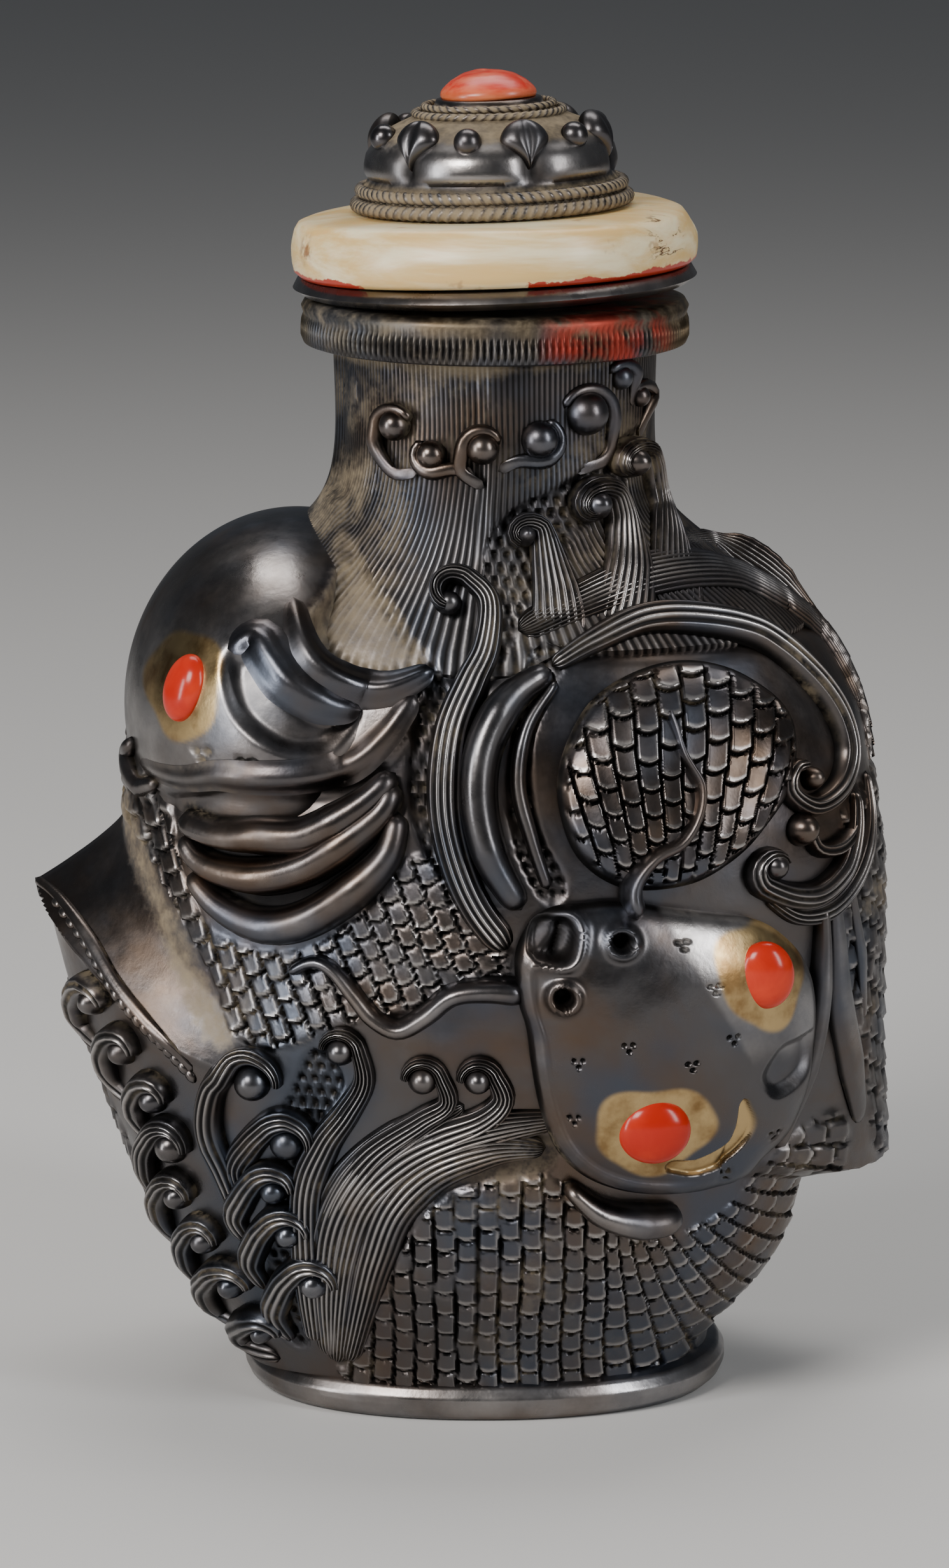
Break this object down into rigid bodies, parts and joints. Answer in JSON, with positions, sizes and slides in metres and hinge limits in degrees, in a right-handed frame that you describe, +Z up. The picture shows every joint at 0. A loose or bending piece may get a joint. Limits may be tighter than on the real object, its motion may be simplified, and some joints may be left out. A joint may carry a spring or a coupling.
{
  "type": "snuff bottle",
  "caption": "Carved silver snuff bottle with two bulging fish heads, wave curls and coral eyes, oval foot, round neck and a stopper of silver, bone and coral.",
  "frame": {"origin": "centre of the foot's flat underside, on the surface the bottle stands on", "axes": "+Z up the neck, -Y out of the carved front with the lower fish head, +X to that front's right"},
  "size_m": [0.0537, 0.0381, 0.082],
  "materials": {
    "silver": "dark oxidised silver, polished bright on its ridges",
    "dark_silver": "brown-grey oxidised silver, finely milled",
    "bone": "polished old bone, cream with yellow streaks",
    "coral": "polished orange-red coral"
  },
  "bodies": {
    "root": {"bottle": "silver", "mouth_ring": "dark_silver", "stopper_disc": "silver", "bone_disc": "bone", "finial": "silver", "top_coral": "coral", "eye_shoulder_front": "coral", "eye_shoulder_back": "coral", "eye_upper": "coral", "eye_lower": "coral"}
  },
  "joints": []
}
